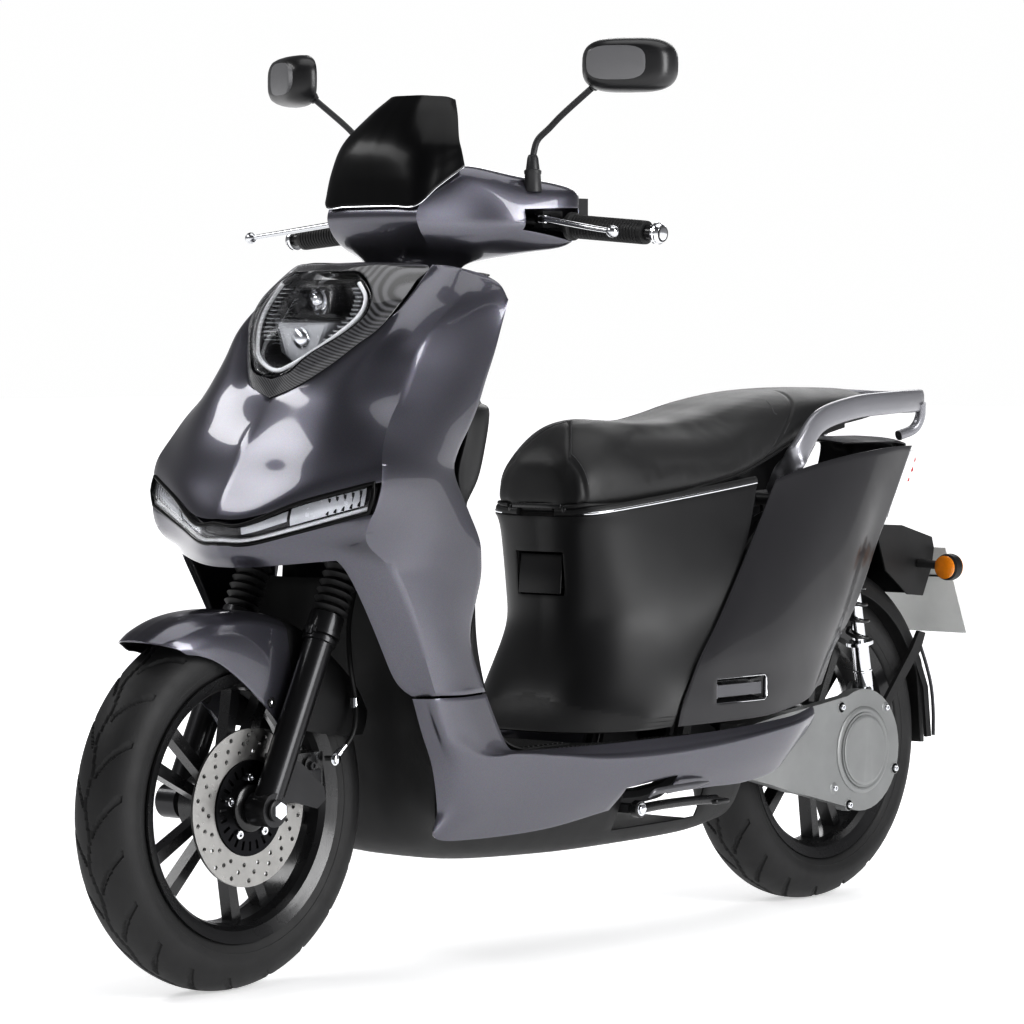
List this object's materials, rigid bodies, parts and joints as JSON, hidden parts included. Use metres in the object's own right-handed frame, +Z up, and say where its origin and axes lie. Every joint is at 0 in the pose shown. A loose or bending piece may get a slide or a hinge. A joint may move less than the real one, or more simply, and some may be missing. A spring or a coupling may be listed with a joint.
{
  "type": "moped scooter",
  "caption": "Step-through electric moped scooter with a deep front shield, small windscreen, long stepped seat, rear grab rail, flat footboard and alloy wheels.",
  "frame": {"origin": "on the ground, below the middle of the overall length and width", "axes": "-Y forwards, +X the left side of the scooter, +Z up"},
  "size_m": [0.776, 1.936, 1.334],
  "materials": {
    "gunmetal": "satin metallic gunmetal paint",
    "panel_black": "gloss black panel with a grey tint",
    "trim_black": "fine-grained black moulding",
    "carbon": "woven carbon look under clear coat",
    "lens_clear": "clear lens",
    "lamp_inside": "bezel with bright projectors",
    "lamp_strip": "smoked clear lamp strip",
    "tail_lens": "clear tail lamp",
    "amber": "ribbed amber lens on a black stalk",
    "frame_steel": "powder-coated steel",
    "chromed": "bright chrome",
    "satin_silver": "satin grey paint",
    "polished": "polished aluminium",
    "cast_case": "silver-painted casting",
    "black_cast": "semi-gloss black on a casting",
    "disc_steel": "turned stainless steel",
    "tyre_rubber": "tread rubber",
    "soft_rubber": "moulded rubber",
    "seat_vinyl": "grained black vinyl with stitched seams",
    "plate_white": "blank light grey plate",
    "mirror_shell": "black shell with a mirror glass",
    "button_grey": "satin grey key",
    "button_red": "red key"
  },
  "bodies": {
    "chassis": {"frame": "frame_steel", "front_shield": "gunmetal", "headlight_surround": "carbon", "headlight_lens": "lens_clear", "headlight_unit": "lamp_inside", "drl_lens": "lamp_strip", "inner_leg_shield": "trim_black", "belly_pan": "trim_black", "side_skirts": "gunmetal", "floor_mat": "soft_rubber", "underseat_body": "panel_black", "side_panel_left": "panel_black", "side_panel_right": "panel_black", "tail_cover": "panel_black", "tail_lamp": "tail_lens", "grab_rail": "satin_silver", "plate_bracket": "trim_black", "number_plate": "plate_white", "rear_indicators": "amber", "battery_pack": "black_cast", "shock_rods": "chromed", "shock_springs": "frame_steel"},
    "steering": {"steering_stem": "frame_steel", "handlebar": "frame_steel", "handlebar_cover": "gunmetal", "windscreen": "panel_black", "dash_panel": "panel_black", "grip_left": "soft_rubber", "switch_pods": "trim_black", "mirror_stems": "frame_steel", "fork_tubes": "chromed", "fork_boots": "soft_rubber"},
    "fork_lower": {"fork_legs": "satin_silver", "front_axle": "chromed", "front_fender": "gunmetal", "front_caliper": "black_cast", "brake_hose": "soft_rubber"},
    "front_wheel": {"front_rim": "black_cast", "front_tyre": "tyre_rubber", "front_disc": "disc_steel"},
    "swing_unit": {"motor_case": "cast_case", "swingarm": "frame_steel", "rear_axle": "chromed", "rear_hugger": "trim_black"},
    "rear_wheel": {"rear_rim": "black_cast", "rear_tyre": "tyre_rubber"},
    "shock_lower": {"shock_bodies": "chromed"},
    "seat": {"seat_cushion": "seat_vinyl", "seat_pan": "trim_black"},
    "stand": {"side_stand": "polished"},
    "brake_lever_left": {"lever_left": "polished"},
    "brake_lever_right": {"lever_right": "polished"},
    "throttle": {"throttle_grip": "soft_rubber"},
    "left_mirror": {"mirror_left": "mirror_shell"},
    "right_mirror": {"mirror_right": "mirror_shell"},
    "left_footrest": {"footpeg_left": "polished"},
    "right_footrest": {"footpeg_right": "polished"},
    "charging_lid": {"charge_lid": "trim_black"},
    "horn_key": {"horn_button": "button_grey"},
    "start_key": {"start_button": "button_red"}
  },
  "joints": [
    {"name": "steering", "type": "hinge", "parent": "chassis", "child": "steering", "pos_m": [0, -0.796, 0], "axis": [0, 0.4384, 0.8988], "range_deg": [-38, 38]},
    {"name": "fork_travel", "type": "slide", "parent": "steering", "child": "fork_lower", "axis": [0, 0.4384, 0.8988], "range_m": [0, 0.055], "stiffness_N_per_m": 9000, "springref_m": -0.06, "deforming": ["fork_boots", "brake_hose"]},
    {"name": "front_wheel_spin", "type": "hinge", "parent": "fork_lower", "child": "front_wheel", "pos_m": [0, -0.711, 0.258], "axis": [1, 0, 0], "continuous": true},
    {"name": "swing_pivot", "type": "hinge", "parent": "chassis", "child": "swing_unit", "pos_m": [0, 0.304, 0.285], "axis": [1, 0, 0], "range_deg": [0, 7], "stiffness_Nm_per_rad": 900, "springref_deg": -20.05, "deforming": ["shock_springs"]},
    {"name": "rear_wheel_spin", "type": "hinge", "parent": "swing_unit", "child": "rear_wheel", "pos_m": [0, 0.639, 0.256], "axis": [1, 0, 0], "continuous": true},
    {"name": "shock_stroke", "type": "slide", "parent": "chassis", "child": "shock_lower", "axis": [0, -0.1934, 0.9811], "range_m": [0, 0.0475], "deforming": ["shock_springs"]},
    {"name": "seat_hinge", "type": "hinge", "parent": "chassis", "child": "seat", "pos_m": [0, -0.022, 0.652], "axis": [1, 0, 0], "range_deg": [0, 60]},
    {"name": "side_stand_pivot", "type": "hinge", "parent": "chassis", "child": "stand", "pos_m": [0.168, 0.006, 0.206], "axis": [-1, 0, 0], "range_deg": [0, 70]},
    {"name": "brake_lever_left_pivot", "type": "hinge", "parent": "steering", "child": "brake_lever_left", "pos_m": [0.176, -0.226, 1.078], "axis": [0, 0, 1], "range_deg": [0, 16], "stiffness_Nm_per_rad": 2.5, "springref_deg": -11.46},
    {"name": "brake_lever_right_pivot", "type": "hinge", "parent": "steering", "child": "brake_lever_right", "pos_m": [-0.176, -0.226, 1.078], "axis": [0, 0, -1], "range_deg": [0, 16], "stiffness_Nm_per_rad": 2.5, "springref_deg": -11.46},
    {"name": "throttle_twist", "type": "hinge", "parent": "steering", "child": "throttle", "pos_m": [-0.18, -0.188, 1.07], "axis": [-0.9961, 0.0347, -0.0811], "range_deg": [0, 70], "stiffness_Nm_per_rad": 0.25, "springref_deg": -17.19},
    {"name": "left_mirror_turn", "type": "hinge", "parent": "steering", "child": "left_mirror", "pos_m": [0.275, -0.226, 1.268], "axis": [0, 0, 1], "range_deg": [-12, 12]},
    {"name": "right_mirror_turn", "type": "hinge", "parent": "steering", "child": "right_mirror", "pos_m": [-0.275, -0.226, 1.268], "axis": [0, 0, 1], "range_deg": [-12, 12]},
    {"name": "left_footrest_fold", "type": "hinge", "parent": "chassis", "child": "left_footrest", "pos_m": [0.181, 0.169, 0.372], "axis": [0, 0, -1], "range_deg": [0, 80]},
    {"name": "right_footrest_fold", "type": "hinge", "parent": "chassis", "child": "right_footrest", "pos_m": [-0.181, 0.169, 0.372], "axis": [0, 0, 1], "range_deg": [0, 80]},
    {"name": "charging_lid_hinge", "type": "hinge", "parent": "chassis", "child": "charging_lid", "pos_m": [0, -0.0215, 0.582], "axis": [-1, 0, 0], "range_deg": [0, 100]},
    {"name": "horn_press", "type": "slide", "parent": "steering", "child": "horn_key", "axis": [0, -1, 0], "range_m": [0, 0.0025], "stiffness_N_per_m": 300, "springref_m": -0.002},
    {"name": "start_press", "type": "slide", "parent": "steering", "child": "start_key", "axis": [0, -1, 0], "range_m": [0, 0.0025], "stiffness_N_per_m": 300, "springref_m": -0.002}
  ],
  "couplings": [
    {"joint": "shock_stroke", "follows": "swing_pivot", "m_per_rad": 0.38541}
  ]
}
